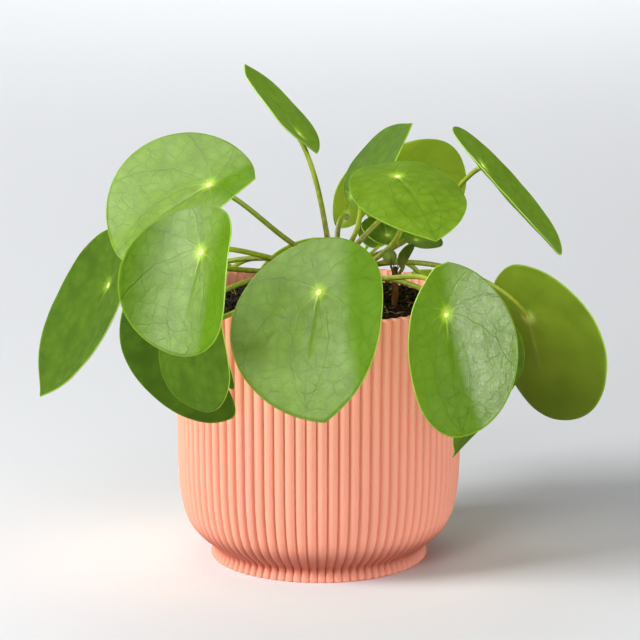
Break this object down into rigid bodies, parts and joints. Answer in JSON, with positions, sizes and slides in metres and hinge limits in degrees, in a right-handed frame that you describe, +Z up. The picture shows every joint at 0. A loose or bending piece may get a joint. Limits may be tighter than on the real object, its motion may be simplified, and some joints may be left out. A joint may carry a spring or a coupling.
{
  "type": "potted house plant",
  "caption": "Bushy pilea house plant with round leaves on long stalks, growing from soil in a ribbed coral pot.",
  "frame": {"origin": "middle of the pot's flat base, where the pot stands", "axes": "+Z up through the pot's axis; the plant's front, as in the picture, faces -Y; +X is the viewer's right"},
  "size_m": [0.2971, 0.226, 0.2526],
  "materials": {
    "pot_coral": "matt, ribbed",
    "soil_dark": "loose, granular",
    "stem_brown": "matt, leaf scars",
    "stalk_green": "satin",
    "leaf_green": "waxy, softly glossy",
    "young_green": "satin"
  },
  "bodies": {
    "root": {"pot": "pot_coral", "soil": "soil_dark", "stem": "stem_brown", "leaf_front_middle": "leaf_green", "stalk_front_middle": "stalk_green", "leaf_front_left": "leaf_green", "stalk_front_left": "stalk_green", "leaf_front_right": "leaf_green", "stalk_front_right": "stalk_green", "leaf_upper_left": "leaf_green", "stalk_upper_left": "stalk_green", "leaf_far_left": "leaf_green", "stalk_far_left": "stalk_green", "leaf_upper_middle": "leaf_green", "stalk_upper_middle": "stalk_green", "leaf_far_right": "leaf_green", "stalk_far_right": "stalk_green", "leaf_high_right": "leaf_green", "stalk_high_right": "stalk_green", "leaf_high_left": "leaf_green", "stalk_high_left": "stalk_green", "leaf_low_left": "leaf_green", "stalk_low_left": "stalk_green", "leaf_hanging_left": "leaf_green", "stalk_hanging_left": "stalk_green", "leaf_behind_middle": "leaf_green", "stalk_behind_middle": "stalk_green", "leaf_back_upper": "leaf_green", "stalk_back_upper": "stalk_green", "leaf_back_inner": "leaf_green", "stalk_back_inner": "stalk_green", "leaf_tucked_right": "leaf_green", "stalk_tucked_right": "stalk_green", "leaf_small_dark": "leaf_green", "stalk_small_dark": "stalk_green", "leaf_small_grey": "leaf_green", "stalk_small_grey": "stalk_green", "leaf_back_middle": "leaf_green", "stalk_back_middle": "stalk_green", "leaf_back_left": "leaf_green", "stalk_back_left": "stalk_green", "leaf_back_right": "leaf_green", "stalk_back_right": "stalk_green", "leaf_back_low_left": "leaf_green", "stalk_back_low_left": "stalk_green", "leaf_young_right": "young_green", "leaf_young_folded": "young_green", "leaf_young_tiny": "young_green", "shoot": "young_green"}
  },
  "joints": []
}
